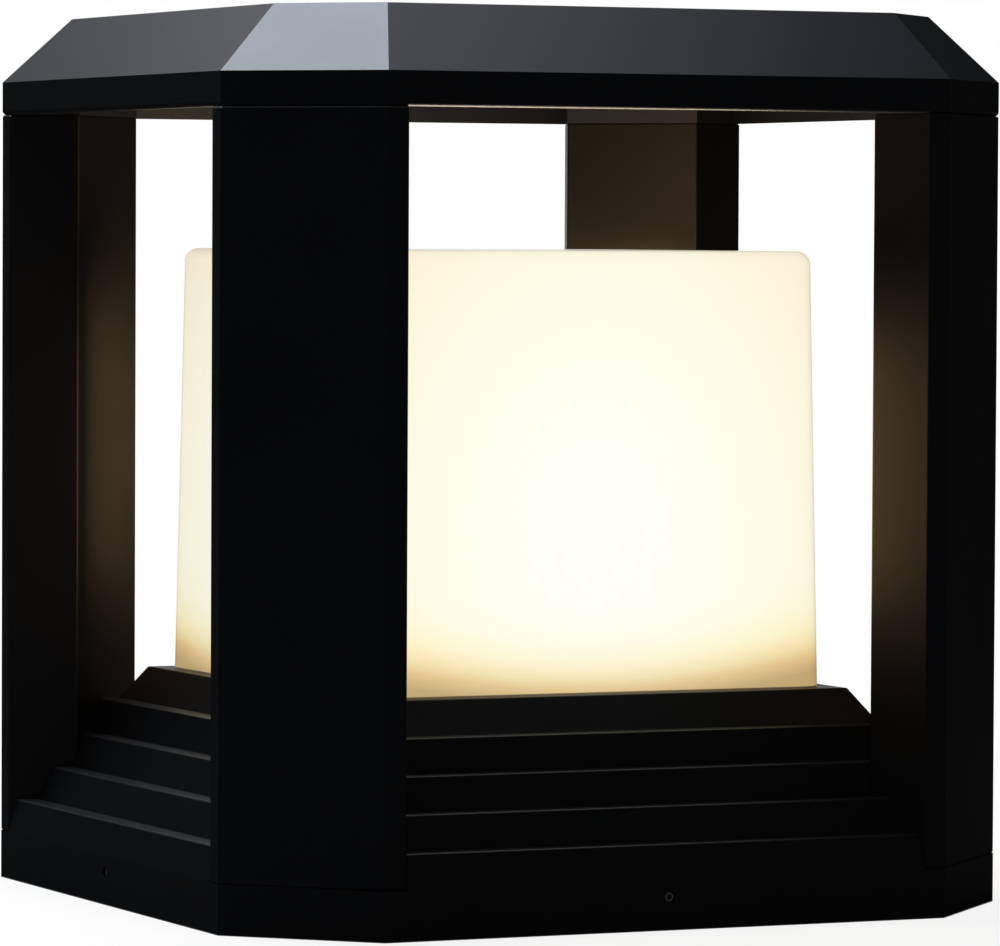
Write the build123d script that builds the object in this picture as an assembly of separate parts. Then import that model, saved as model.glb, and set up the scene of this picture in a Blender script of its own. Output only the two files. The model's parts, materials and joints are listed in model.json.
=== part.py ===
from build123d import *

import math
import os

# Outdoor post light for the top of a square pillar. A lantern of base, posts, roof and diffuser
# stands over a mounting plate that carries the lampholder, and four set screws hold it there.
# Millimetres, +Z up, front towards -Y, origin in the middle of the underside.

os.makedirs("parts", exist_ok=True)

# Lantern outline, the same square with cut corners for plinth, posts and roof skirt
body_width = 300.0
corner_chamfer = 43.2
cast_wall = 3.5

# Stepped base
plinth_height = 17.5
tier_count = 5
tier_rise = 12.0
ledge_width = 7.6
first_lean_share = 0.62  # lean of the lowest face, as a share of a middle one
last_lean_share = 2.0  # lean of the highest face, as a share of a middle one
tier_edge_radius = 0.8
base_rim = 5.3  # flat left round the diffuser's foot
post_pad = 6.0  # thickness of the plinth under a post
bulb_opening = 110.0
seat_clearance = 0.2  # between a post and the notch that it stands in

# Corner posts, hollow extrusions
post_height = 264.0
post_return = 7.6  # flat beside the cut corner, flush with the plinth
post_depth = 23.4  # how far the slanted sides reach in
post_flare = 9.9  # how far they widen the post on the way
post_wall = 2.5
post_edge_radius = 1.0
post_end_chamfer = 0.5

# Roof cap
skirt_height = 12.0
bevel_run = 23.6
bevel_rise = 23.5
roof_pad = 16.0  # depth of the cast pad over each post
skirt_edge_radius = 1.6
roof_edge_radius = 0.8

# Tie rods from the plinth up through the posts into the roof pads
rod_diameter = 5.0
rod_grip = 12.0  # length held in the roof
rod_tail = 2.0  # length below the nut
nut_width = 8.0
nut_height = 4.0
washer_diameter = 10.0
washer_thickness = 1.0

# Opal diffuser
diffuser_width = 181.4
diffuser_draft = 2.6  # each side leans in by this much over the height
diffuser_height = 155.0
diffuser_wall = 3.0
diffuser_corner = 10.0
diffuser_top_radius = 5.0
boss_diameter = 10.0
boss_height = 18.0
boss_skin = 0.8  # wall left outside a boss
boss_screw_reach = 12.0  # length of a screw held in a boss
gasket_thickness = 1.5
gasket_width = 11.0
gasket_setback = 0.8  # gasket's edge inside the diffuser's foot
gasket_recess = 1.0
gasket_clearance = 0.2

# Set screws in the plinth
set_screw_diameter = 4.0
set_screw_length = 10.0
set_screw_height = 11.5
set_screw_recess = 0.8
set_screw_gap = 0.2  # from the point to the flange that it presses on
set_screw_boss = 10.0
set_screw_boss_length = 5.0
socket_width = 2.0
socket_depth = 2.2

# Mounting plate, folded from sheet
sheet = 2.0
bend_radius = 1.5
flange_height = 20.0
plate_corner_cut = 76.0
anchor_spacing = 160.0
anchor_hole = 7.0
cable_bore = 10.0
bush_wall = 3.0
bush_lip = 2.5
bush_lip_height = 2.0

# Lamp bracket, a bridge over the cable bush
bracket_height = 36.0
bracket_span = 56.0
bracket_width = 44.0
bracket_foot = 16.0

# Lampholder
holder_diameter = 42.0
holder_height = 46.0
holder_floor = 12.0
holder_rim_radius = 1.5
shell_thickness = 0.8
shell_height = 23.0
shell_below_rim = 3.5
contact_rise = 5.0
contact_width = 6.0
contact_thickness = 0.8
holder_screw_spacing = 18.0
holder_screw_tail = 2.0  # length below the bracket

# Bulb
bulb_length = 108.0
bulb_diameter = 60.0
globe_wall = 1.5
globe_seam_radius = 27.0
cap_diameter = 26.2
cap_clearance = 0.4  # round the cap, inside the lampholder's shell
housing_gap = 0.5  # from the lampholder's rim up to the housing
insulator_height = 4.0
insulator_setback = 0.8
tip_diameter = 9.0
tip_height = 1.5
housing_neck = 28.0
housing_bow = 3.0  # hollow of the housing's side
board_thickness = 1.6
board_clearance = 0.5

# Wiring
pole_pitch = 10.0
pole_count = 3
pole_gap = 1.5
block_depth = 20.0
block_height = 16.0
block_base = 5.0
block_ear = 10.0
block_offset = 78.0  # terminal block, from the middle of the plate
clamp_screw_diameter = 3.0
clamp_screw_sink = 1.0  # screw's top below the block's
lead_diameter = 2.8
lead_clearance = 0.2
lead_height = 8.0  # above the plate
lead_grip = 8.0  # length inside a terminal
lead_entry = 4.0  # length inside the lampholder
lead_setback = 10.0  # from the lampholder's axis
bend_share = 0.45  # of the shorter run beside a lead's bend
tag_gap = 26.0  # earth screw, from the terminal block's face
tag_thickness = 0.8
tag_diameter = 9.0
tag_barrel_length = 7.0
tag_grip = 5.0  # length of lead inside the barrel
earth_drop_start = 0.4  # where the earth lead turns down, as a share of its open length
earth_drop_end = 0.8  # where it levels out again

# Small pan-head screws
screw_diameter = 4.0
screw_head = 7.0
screw_head_height = 2.6

# Clearances round threads and through holes
thread_clearance = 0.1
hole_clearance = 0.3

body_half = body_width / 2
plinth_underside = plinth_height - post_pad
base_top = plinth_height + tier_count * tier_rise
skirt_bottom = plinth_height + post_height
skirt_top = skirt_bottom + skirt_height
roof_top = skirt_top + bevel_rise
foot_half = diffuser_width / 2
lean_room = body_half - foot_half - base_rim - (tier_count - 1) * ledge_width
face_lean = lean_room / (tier_count - 2 + first_lean_share + last_lean_share)
diffuser_foot = base_top - gasket_recess + gasket_thickness
diffuser_top = diffuser_foot + diffuser_height

# Corner post in the +X +Y corner: where its edges meet the body outline, and its middle line
post_shoulder = body_half - corner_chamfer
post_edge = post_shoulder - post_return
post_back = body_half - post_depth
post_inner = post_edge - post_flare
chamfer_middle = body_half - corner_chamfer / 2
inner_middle = (post_back + post_inner) / 2
rod_axis = (chamfer_middle + inner_middle) / 2

# Set screw ends and the flange behind them, from the middle outwards
set_screw_outer = body_half - set_screw_recess
set_screw_point = set_screw_outer - set_screw_length
flange_outer = set_screw_point - set_screw_gap

# Heights of the lamp's stack above the pillar
holder_floor_top = bracket_height + holder_floor
holder_top = bracket_height + holder_height
tip_bottom = holder_floor_top + contact_rise
insulator_bottom = tip_bottom + tip_height
cap_bottom = insulator_bottom + insulator_height
cap_top = holder_top + housing_gap
bulb_top = tip_bottom + bulb_length
globe_radius = bulb_diameter / 2
globe_centre = bulb_top - globe_radius
globe_seam = globe_centre - math.sqrt(globe_radius**2 - globe_seam_radius**2)
cap_radius = cap_diameter / 2
shell_inside = cap_radius + cap_clearance
shell_outside = shell_inside + shell_thickness

# Wiring lines along X and their heights
lead_radius = lead_diameter / 2
lead_level = sheet + lead_height
block_face = block_depth / 2 - block_offset
block_ends = pole_count * pole_pitch / 2
earth_x = block_face + tag_gap
barrel_end = earth_x - tag_diameter / 2
barrel_start = barrel_end - tag_barrel_length
barrel_radius = lead_radius + lead_clearance + tag_thickness
barrel_level = sheet + barrel_radius

CORNERS = {"back_right": 0, "back_left": 90, "front_left": 180, "front_right": 270}
SIDES = {"right": 0, "back": 90, "left": 180, "front": 270}
LOW = (Align.CENTER, Align.CENTER, Align.MIN)
HIGH = (Align.CENTER, Align.CENTER, Align.MAX)


def four_turns(shape):
    """The shape and its copies at each quarter turn about the middle."""
    return [Rot(0, 0, turn) * shape for turn in CORNERS.values()]


def group(shapes):
    """Separate solids that make one node."""
    return Part() + shapes


def square(half):
    """Square face of the given half width."""
    return Rectangle(2 * half, 2 * half)


def cut_square(half):
    """Square with cut corners whose eight sides all lie evenly inside the body outline."""
    cut = corner_chamfer - (body_half - half) * (2 - math.sqrt(2))
    return chamfer(square(half).vertices(), length=cut)


def rounded_square(half, radius):
    """Square face with rounded corners."""
    return RectangleRounded(2 * half, 2 * half, radius)


def between(lower, low, upper, high):
    """Straight-sided solid from one flat outline up to another."""
    return loft([Pos(0, 0, low) * lower, Pos(0, 0, high) * upper], ruled=True)


def turned(outline):
    """Solid of revolution about Z from an outline of radius and height."""
    return revolve(Plane.XZ * outline, axis=Axis.Z)


def upright(diameter, low, high, x=0.0, y=0.0):
    """Round bar along Z between two heights."""
    return Pos(x, y, low) * Cylinder(diameter / 2, high - low, align=LOW)


def along_x(diameter, start, end, height):
    """Round bar along X between two places, at a height."""
    return Pos(start, 0, height) * Rot(0, 90, 0) * Cylinder(diameter / 2, end - start, align=LOW)


def pan_screw(length):
    """Pan-head screw that hangs from its seat at the origin."""
    shank = Cylinder(screw_diameter / 2, length, align=HIGH)
    head = Cylinder(screw_head / 2, screw_head_height, align=LOW)
    return shank + fillet(head.edges().group_by(Axis.Z)[-1], screw_head_height / 3)


def folded(points, width):
    """Sheet strip folded along a line of X and Z points, with the sheet on the line's left."""
    with BuildPart() as strip:
        with BuildSketch(Plane.XZ):
            with BuildLine():
                FilletPolyline(*points, radius=bend_radius + sheet)
                offset(amount=sheet, side=Side.LEFT)
            make_face()
        extrude(amount=width / 2, both=True)
    return strip.part


def lead(points):
    """Round lead along straight runs with one even bend radius, as large as the runs allow."""
    places = [Vector(*p) for p in points]
    runs = [b - a for a, b in zip(places, places[1:])]
    radii = []
    for a, b in zip(runs, runs[1:]):
        half_turn = math.radians(a.get_angle(b)) / 2
        radii.append(bend_share * min(a.length, b.length) / math.tan(half_turn))
    path = FilletPolyline(*points, radius=min(radii))
    section = Plane(origin=path @ 0, z_dir=path % 0) * Circle(lead_radius)
    return sweep(section, path=path)


def post_outline(grow=0.0):
    """Six-sided outline of the post in the +X +Y corner, grown evenly where asked."""
    outline = Polygon(
        (post_shoulder, body_half),
        (post_edge, body_half),
        (post_inner, post_back),
        (post_back, post_inner),
        (body_half, post_edge),
        (body_half, post_shoulder),
        align=None,
    )
    return offset(outline, amount=grow, kind=Kind.INTERSECTION) if grow else outline


def post():
    """Hollow post with a web and a round channel for the tie rod, ends lightly chamfered."""
    outside = fillet(post_outline().vertices(), post_edge_radius)
    solid = Pos(0, 0, plinth_height) * extrude(outside, post_height)
    rings = solid.edges().group_by(Axis.Z)
    solid = chamfer(rings[0] + rings[-1], post_end_chamfer)
    channel = rod_diameter / 2 + hole_clearance
    web_length = (chamfer_middle - inner_middle) * math.sqrt(2)
    web = Rot(0, 0, 45) * Rectangle(web_length, post_wall) + Circle(channel + post_wall)
    void = post_outline(-post_wall) - Pos(rod_axis, rod_axis) * web
    void = void + Pos(rod_axis, rod_axis) * Circle(channel)
    return solid - Pos(0, 0, plinth_height) * extrude(void, post_height)


def tier_faces():
    """Low height, low half width, high height and high half width of each sloped face."""
    shares = [first_lean_share] + [1.0] * (tier_count - 2) + [last_lean_share]
    faces = []
    low, half = plinth_height, body_half
    for share in shares:
        high, upper = low + tier_rise, half - share * face_lean
        faces.append((low, half, high, upper))
        low, half = high, upper - ledge_width
    return faces


def tiers(inset, edge_radius=0.0):
    """Stack of square tiers, set in and down by one wall where it is the cavity under them."""
    stack = []
    for low, lower, high, upper in tier_faces():
        tier = between(square(lower - inset), low - inset, square(upper - inset), high - inset)
        if edge_radius:
            tier = fillet(tier.edges().group_by(Axis.Z)[-1], edge_radius)
        stack.append(tier)
    return group(stack)


def gasket_outline(grow=0.0):
    """Square ring under the diffuser's foot, grown on both edges where asked."""
    outer = foot_half - gasket_setback
    corner = diffuser_corner - gasket_setback
    return rounded_square(outer + grow, corner + grow) - square(outer - gasket_width - grow)


def boss_places():
    """Centres of the diffuser's four corner bosses."""
    reach = (diffuser_corner - boss_diameter / 2 - boss_skin) / math.sqrt(2)
    place = foot_half - diffuser_corner + reach
    return [(x * place, y * place) for x in (-1, 1) for y in (-1, 1)]


def at_bosses(shape):
    """Copies of a shape on the four bosses' axes."""
    return [Pos(x, y, 0) * shape for x, y in boss_places()]


def stepped_base():
    """Cast base: plinth and tiers, hollow below, notched for the posts and open for the bulb."""
    prism = extrude(cut_square(body_half), base_top)
    notch = extrude(post_outline(seat_clearance), base_top - plinth_height)
    notches = four_turns(Pos(0, 0, plinth_height) * notch)
    outer = extrude(cut_square(body_half), plinth_height)
    outer = outer + ((tiers(0.0, tier_edge_radius) & prism) - notches)
    kept = extrude(post_outline(seat_clearance + cast_wall), base_top - plinth_underside)
    hollow = extrude(cut_square(body_half - cast_wall), plinth_height - cast_wall) + tiers(cast_wall)
    solid = outer - (hollow - four_turns(Pos(0, 0, plinth_underside) * kept))
    wall_inside = body_half - cast_wall
    boss_end = wall_inside - set_screw_boss_length
    boss = along_x(set_screw_boss, boss_end, body_half - cast_wall / 2, set_screw_height)
    thread = along_x(set_screw_diameter + 2 * thread_clearance, boss_end, body_half, set_screw_height)
    solid = solid + four_turns(boss) - four_turns(thread)
    rod_hole = upright(rod_diameter + 2 * hole_clearance, 0, base_top, rod_axis, rod_axis)
    groove = extrude(gasket_outline(gasket_clearance), gasket_recess)
    groove = Pos(0, 0, base_top - gasket_recess) * groove
    screw_hole = upright(screw_diameter + 2 * hole_clearance, 0, base_top)
    window = upright(bulb_opening, 0, base_top)
    return solid - four_turns(rod_hole) - groove - window - at_bosses(screw_hole)


def roof_cap():
    """Cast roof: upright skirt and even bevels, hollow below, with a pad over each post."""
    slope = math.atan2(bevel_rise, bevel_run)
    top_half = body_half - bevel_run
    outer = Pos(0, 0, skirt_bottom) * extrude(cut_square(body_half), skirt_height)
    outer = outer + between(cut_square(body_half), skirt_top, cut_square(top_half), roof_top)
    outer = fillet(outer.edges().group_by(Axis.Z)[-1], roof_edge_radius)
    outer = fillet(outer.edges().group_by(Axis.Z)[0], skirt_edge_radius)
    inner_skirt_top = skirt_top - cast_wall * math.tan((math.pi / 2 - slope) / 2)
    inner_top_half = top_half - cast_wall * math.tan(slope / 2)
    inside = cut_square(body_half - cast_wall)
    ceiling = cut_square(inner_top_half)
    hollow = Pos(0, 0, skirt_bottom) * extrude(inside, inner_skirt_top - skirt_bottom)
    hollow = hollow + between(inside, inner_skirt_top, ceiling, roof_top - cast_wall)
    pad = Pos(0, 0, skirt_bottom) * extrude(post_outline(), roof_pad)
    thread = rod_diameter + 2 * thread_clearance
    bore = upright(thread, skirt_bottom, skirt_bottom + rod_grip, rod_axis, rod_axis)
    return outer - (hollow - four_turns(pad)) - four_turns(bore)


def tie_rod():
    """Threaded rod from below the nut up into the roof pad."""
    low = plinth_underside - washer_thickness - nut_height - rod_tail
    return upright(rod_diameter, low, skirt_bottom + rod_grip, rod_axis, rod_axis)


def tie_rod_washer():
    """Flat washer under the plinth."""
    ring = Circle(washer_diameter / 2) - Circle(rod_diameter / 2 + thread_clearance)
    low = plinth_underside - washer_thickness
    return Pos(rod_axis, rod_axis, low) * extrude(ring, washer_thickness)


def tie_rod_nut():
    """Hexagon nut under the washer."""
    hexagon = RegularPolygon(nut_width / 2, 6, major_radius=False)
    hexagon = hexagon - Circle(rod_diameter / 2 + thread_clearance)
    low = plinth_underside - washer_thickness - nut_height
    return Pos(rod_axis, rod_axis, low) * extrude(hexagon, nut_height)


def tapered_box(inset, top, edge_radius):
    """The diffuser's box, set in by one wall where it is the space inside."""
    corner = diffuser_corner - inset
    foot = rounded_square(foot_half - inset, corner)
    head = rounded_square(foot_half - diffuser_draft - inset, corner)
    box = between(foot, diffuser_foot, head, top)
    return fillet(box.edges().group_by(Axis.Z)[-1], edge_radius)


def diffuser():
    """Opal box, open below, with drawn-in sides, soft top edges and a screw boss in each corner."""
    outer = tapered_box(0.0, diffuser_top, diffuser_top_radius)
    inner_radius = diffuser_top_radius - diffuser_wall
    inner = tapered_box(diffuser_wall, diffuser_top - diffuser_wall, inner_radius)
    boss = upright(boss_diameter, diffuser_foot, diffuser_foot + boss_height)
    thread = screw_diameter + 2 * thread_clearance
    bore = upright(thread, diffuser_foot, diffuser_foot + boss_screw_reach)
    return outer - (inner - at_bosses(boss)) - at_bosses(bore)


def diffuser_gasket():
    """Flat square ring with holes for the diffuser's screws."""
    ring = gasket_outline() - at_bosses(Circle(screw_diameter / 2 + hole_clearance))
    return Pos(0, 0, base_top - gasket_recess) * extrude(ring, gasket_thickness)


def diffuser_screw():
    """Screw from under the base's top up into a boss."""
    seat = base_top - cast_wall
    return Pos(0, 0, seat) * Rot(180, 0, 0) * pan_screw(diffuser_foot + boss_screw_reach - seat)


def set_screw():
    """Set screw in the right-hand plinth face, with a hexagon socket in its outer end."""
    screw = along_x(set_screw_diameter, set_screw_point, set_screw_outer, set_screw_height)
    socket = extrude(RegularPolygon(socket_width / 2, 6, major_radius=False), socket_depth)
    return screw - Pos(set_screw_outer - socket_depth, 0, set_screw_height) * Rot(0, 90, 0) * socket


def bracket_foot_places():
    """Places of the bracket's two foot screws along Y."""
    place = (bracket_span + bracket_foot) / 2
    return (-place, place)


def holder_screw_places():
    """Places of the lampholder's two screws along Y."""
    return (-holder_screw_spacing / 2, holder_screw_spacing / 2)


def pole_places():
    """Places of the terminal block's poles along Y."""
    return [(i + 0.5) * pole_pitch - block_ends for i in range(pole_count)]


def lamp_lead_places():
    """Places of the two lamp leads along Y, in line with the outer poles."""
    return (pole_places()[0], pole_places()[-1])


def block_screw_places():
    """Places of the terminal block's two fixing screws along Y, in its ears."""
    place = block_ends + block_ear / 2
    return (-place, place)


def mounting_plate():
    """Flat plate with cut corners, a flange folded up along each side, and its holes."""
    plate_half = flange_outer - bend_radius - sheet
    plate = extrude(chamfer(square(plate_half).vertices(), length=plate_corner_cut), sheet)
    fold = [(plate_half - bend_radius, 0), (flange_outer, 0), (flange_outer, flange_height)]
    flange = folded(fold, 2 * (flange_outer - plate_corner_cut))
    reach = anchor_spacing / 2
    anchor = upright(anchor_hole, 0, sheet, reach, reach)
    thread = screw_diameter + 2 * thread_clearance
    threads = [upright(thread, 0, sheet, 0, y) for y in bracket_foot_places()]
    threads = threads + [upright(thread, 0, sheet, -block_offset, y) for y in block_screw_places()]
    threads = threads + [upright(thread, 0, sheet, earth_x)]
    cable_hole = upright(cable_bore + 2 * bush_wall, 0, sheet)
    return plate + four_turns(flange) - four_turns(anchor) - threads - cable_hole


def cable_bush():
    """Rubber bush that lines the cable hole, with a lip on top of the plate."""
    bore = cable_bore / 2
    wall = bore + bush_wall
    top = sheet + bush_lip_height
    outline = Polygon(
        (bore, 0), (wall, 0), (wall, sheet), (wall + bush_lip, sheet), (wall, top), (bore, top), align=None
    )
    return turned(outline)


def lamp_bracket():
    """Sheet bridge along Y, with two feet on the plate and a flat top for the lampholder."""
    leg = bracket_span / 2
    underside = bracket_height - sheet
    rise = [(-leg - bracket_foot, sheet), (sheet - leg, sheet), (sheet - leg, underside)]
    fall = [(-x, z) for x, z in reversed(rise)]
    bridge = Rot(0, 0, 90) * folded(rise + fall, bracket_width)
    foot_hole = screw_diameter + 2 * hole_clearance
    thread = screw_diameter + 2 * thread_clearance
    lead_hole = lead_diameter + 2 * hole_clearance
    holes = [upright(foot_hole, 0, 2 * sheet, 0, y) for y in bracket_foot_places()]
    holes = holes + [upright(thread, underside, bracket_height, 0, y) for y in holder_screw_places()]
    for y in lamp_lead_places():
        holes.append(upright(lead_hole, underside, bracket_height, -lead_setback, y))
    return bridge - holes


def screw_row(places, seat, length, x=0.0):
    """Pan-head screws in a row along Y, seated at one height."""
    return group([Pos(x, y, seat) * pan_screw(length) for y in places])


def lampholder_body():
    """Porcelain cup with a thick floor, bored for its screws and leads."""
    cup = upright(holder_diameter, bracket_height, holder_top)
    cup = fillet(cup.edges().group_by(Axis.Z)[-1], holder_rim_radius)
    cup = cup - upright(2 * (shell_outside + thread_clearance), holder_floor_top, holder_top)
    screw_hole = screw_diameter + 2 * hole_clearance
    lead_hole = lead_diameter + 2 * lead_clearance
    lead_end = bracket_height + lead_entry
    holes = [upright(screw_hole, bracket_height, holder_floor_top, 0, y) for y in holder_screw_places()]
    for y in lamp_lead_places():
        holes.append(upright(lead_hole, bracket_height, lead_end, -lead_setback, y))
    return cup - holes


def lampholder_shell():
    """Metal screw shell that lines the porcelain cup."""
    high = holder_top - shell_below_rim
    ring = Circle(shell_outside) - Circle(shell_inside)
    return Pos(0, 0, high - shell_height) * extrude(ring, shell_height)


def lampholder_contact():
    """Spring tongue on the porcelain floor that rises to the bulb's end contact."""
    high = tip_bottom - contact_thickness
    with BuildPart() as tongue:
        with BuildSketch(Plane.XZ):
            with BuildLine():
                Polyline(
                    (shell_inside, holder_floor_top),
                    (contact_width, holder_floor_top),
                    (contact_width / 2, high),
                    (-contact_width / 2, high),
                )
                offset(amount=contact_thickness, side=Side.RIGHT, kind=Kind.INTERSECTION)
            make_face()
        extrude(amount=contact_width / 2, both=True)
    return tongue.part


def bulb_globe():
    """Thin opal dome, round from its seam with the housing over the top."""
    inner_radius = globe_radius - globe_wall
    drop = globe_seam - globe_centre
    outer_angle = math.degrees(math.asin(drop / globe_radius))
    inner_angle = math.degrees(math.asin(drop / inner_radius))
    outer = CenterArc((0, globe_centre), globe_radius, outer_angle, 90 - outer_angle)
    inner = CenterArc((0, globe_centre), inner_radius, inner_angle, 90 - inner_angle)
    return turned(make_face([outer, Line(outer @ 1, inner @ 1), inner, Line(inner @ 0, outer @ 0)]))


def bulb_housing():
    """Moulded housing that flares in a hollow curve from the cap to the globe."""
    low = (housing_neck / 2, cap_top)
    high = (globe_seam_radius, globe_seam)
    middle = ((low[0] + high[0]) / 2 - housing_bow, (low[1] + high[1]) / 2 + housing_bow)
    side = ThreePointArc(low, middle, high)
    return turned(make_face([side, Polyline(high, (0, globe_seam), (0, cap_top), low)]))


def bulb_led_board():
    """Round board with the light chips, on the housing under the globe."""
    radius = globe_seam_radius - 2 * globe_wall - board_clearance
    return upright(2 * radius, globe_seam, globe_seam + board_thickness)


def bulb_cap():
    """Screw cap of the bulb, as the cylinder that its thread fills."""
    return upright(cap_diameter, cap_bottom, cap_top)


def bulb_insulator():
    """Glass cone between the cap and its end contact."""
    foot = (tip_diameter / 2, insulator_bottom)
    head = (cap_radius - insulator_setback, cap_bottom)
    return turned(Polygon((0, insulator_bottom), foot, head, (0, cap_bottom), align=None))


def bulb_contact():
    """End contact of the bulb."""
    return upright(tip_diameter, tip_bottom, insulator_bottom)


def clamp_screw_places():
    """Places of the clamp screws, two to a pole, as seen from above."""
    reach = block_depth / 4
    return [(x - block_offset, y) for y in pole_places() for x in (-reach, reach)]


def terminal_block():
    """Moulded strip with a raised tube for each pole, bored for its wires and clamp screws."""
    top = sheet + block_height
    strip = Rectangle(block_depth, 2 * (block_ends + block_ear))
    strip = Pos(-block_offset, 0, sheet) * extrude(strip, block_base)
    tube = Pos(-block_offset, 0, sheet) * extrude(Rectangle(block_depth, pole_pitch - pole_gap), block_height)
    tube = fillet(tube.edges().filter_by(Axis.X).group_by(Axis.Z)[-1], pole_pitch / 4)
    wire = along_x(lead_diameter + 2 * lead_clearance, block_face - block_depth, block_face, lead_level)
    well = clamp_screw_diameter + 2 * thread_clearance
    screw_hole = screw_diameter + 2 * hole_clearance
    holes = [Pos(0, y, 0) * wire for y in pole_places()]
    holes = holes + [upright(well, lead_level, top, x, y) for x, y in clamp_screw_places()]
    holes = holes + [upright(screw_hole, 0, top, -block_offset, y) for y in block_screw_places()]
    return strip + [Pos(0, y, 0) * tube for y in pole_places()] - holes


def terminal_screws():
    """Clamp screws of the terminal block, down on the leads."""
    low = lead_level + lead_radius
    high = sheet + block_height - clamp_screw_sink
    return group([upright(clamp_screw_diameter, low, high, x, y) for x, y in clamp_screw_places()])


def earth_tag():
    """Ring tag with a crimp barrel, under the earth screw."""
    ring = Circle(tag_diameter / 2) - Circle(screw_diameter / 2 + hole_clearance)
    tag = Pos(earth_x, 0, sheet) * extrude(ring, tag_thickness)
    barrel = along_x(2 * barrel_radius, barrel_start, barrel_end + tag_thickness, barrel_level)
    bore = along_x(lead_diameter + 2 * lead_clearance, barrel_start, barrel_start + tag_grip, barrel_level)
    return tag + barrel - bore


def lamp_lead(y):
    """Lead from a terminal, level under the bracket, then up into the lampholder."""
    start = block_face - lead_grip
    end = bracket_height + lead_entry
    return lead([(start, y, lead_level), (-lead_setback, y, lead_level), (-lead_setback, y, end)])


def earth_lead():
    """Lead from the middle terminal down into the earth tag's barrel."""
    open_length = barrel_start - block_face
    turn_down = block_face + earth_drop_start * open_length
    level_out = block_face + earth_drop_end * open_length
    return lead(
        [
            (block_face - lead_grip, 0, lead_level),
            (turn_down, 0, lead_level),
            (level_out, 0, barrel_level),
            (barrel_start + tag_grip, 0, barrel_level),
        ]
    )


parts = {
    "stepped_base": stepped_base(),
    "roof_cap": roof_cap(),
    "diffuser": diffuser(),
    "diffuser_gasket": diffuser_gasket(),
    "diffuser_screws": group(at_bosses(diffuser_screw())),
    "tie_rods": group(four_turns(tie_rod())),
    "tie_rod_washers": group(four_turns(tie_rod_washer())),
    "tie_rod_nuts": group(four_turns(tie_rod_nut())),
    "mounting_plate": mounting_plate(),
    "cable_bush": cable_bush(),
    "lamp_bracket": lamp_bracket(),
    "bracket_screws": screw_row(bracket_foot_places(), 2 * sheet, 2 * sheet),
    "lampholder_body": lampholder_body(),
    "lampholder_shell": lampholder_shell(),
    "lampholder_contact": lampholder_contact(),
    "lampholder_screws": screw_row(
        holder_screw_places(), holder_floor_top, holder_floor + sheet + holder_screw_tail
    ),
    "terminal_block": terminal_block(),
    "terminal_screws": terminal_screws(),
    "terminal_block_screws": screw_row(
        block_screw_places(), sheet + block_base, sheet + block_base, -block_offset
    ),
    "earth_tag": earth_tag(),
    "earth_screw": screw_row((0,), sheet + tag_thickness, sheet + tag_thickness, earth_x),
    "live_lead": lamp_lead(lamp_lead_places()[0]),
    "neutral_lead": lamp_lead(lamp_lead_places()[1]),
    "earth_lead": earth_lead(),
    "bulb_globe": bulb_globe(),
    "bulb_housing": bulb_housing(),
    "bulb_led_board": bulb_led_board(),
    "bulb_cap": bulb_cap(),
    "bulb_insulator": bulb_insulator(),
    "bulb_contact": bulb_contact(),
}
for corner, turn in CORNERS.items():
    parts[f"post_{corner}"] = Rot(0, 0, turn) * post()
for side, turn in SIDES.items():
    parts[f"set_screw_{side}"] = Rot(0, 0, turn) * set_screw()

for name, shape in parts.items():
    export_step(shape, f"parts/{name}.step")
    print(f"{name}: {shape.volume / 1000:.1f} cm3")
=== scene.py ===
# %% [markdown]
# # A post light for the top of a garden pillar
# The object is a square lantern with cut corners: a stepped base, four corner posts and a bevelled roof,
# all coated black, round an opal diffuser that glows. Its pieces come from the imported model, in metres, at
# their real size and place. This lesson gives them their finish and their light, and adds the threads and
# screw heads that the solids leave plain.

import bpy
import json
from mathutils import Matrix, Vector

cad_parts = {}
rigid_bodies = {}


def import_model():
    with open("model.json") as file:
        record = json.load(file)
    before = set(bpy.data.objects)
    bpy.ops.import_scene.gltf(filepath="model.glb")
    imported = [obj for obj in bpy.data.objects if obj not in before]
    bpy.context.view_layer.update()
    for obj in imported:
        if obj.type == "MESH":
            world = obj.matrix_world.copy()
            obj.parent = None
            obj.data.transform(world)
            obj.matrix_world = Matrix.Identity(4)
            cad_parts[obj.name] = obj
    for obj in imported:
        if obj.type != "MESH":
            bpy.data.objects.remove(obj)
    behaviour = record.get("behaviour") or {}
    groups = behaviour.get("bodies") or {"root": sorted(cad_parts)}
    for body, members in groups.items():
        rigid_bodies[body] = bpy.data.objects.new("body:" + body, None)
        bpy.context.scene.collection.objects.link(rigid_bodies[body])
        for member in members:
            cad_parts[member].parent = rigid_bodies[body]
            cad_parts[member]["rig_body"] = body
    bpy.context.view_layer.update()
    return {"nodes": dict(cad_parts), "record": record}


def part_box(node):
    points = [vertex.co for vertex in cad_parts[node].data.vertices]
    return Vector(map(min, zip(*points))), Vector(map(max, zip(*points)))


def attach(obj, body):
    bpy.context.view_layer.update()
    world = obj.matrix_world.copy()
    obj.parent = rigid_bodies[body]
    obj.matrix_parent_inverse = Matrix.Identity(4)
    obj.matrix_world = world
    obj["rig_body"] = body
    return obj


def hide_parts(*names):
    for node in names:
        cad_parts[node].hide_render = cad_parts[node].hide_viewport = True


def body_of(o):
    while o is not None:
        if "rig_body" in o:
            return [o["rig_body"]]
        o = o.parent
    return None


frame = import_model()

# %% Tools
import json
import math

import bmesh
import bpy
import numpy as np
from mathutils import Matrix, Quaternion, Vector

MM = 0.001
scene = bpy.context.scene
scene.view_settings.view_transform = "Standard"
print("lengths are in metres, so a millimetre is", MM)

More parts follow.
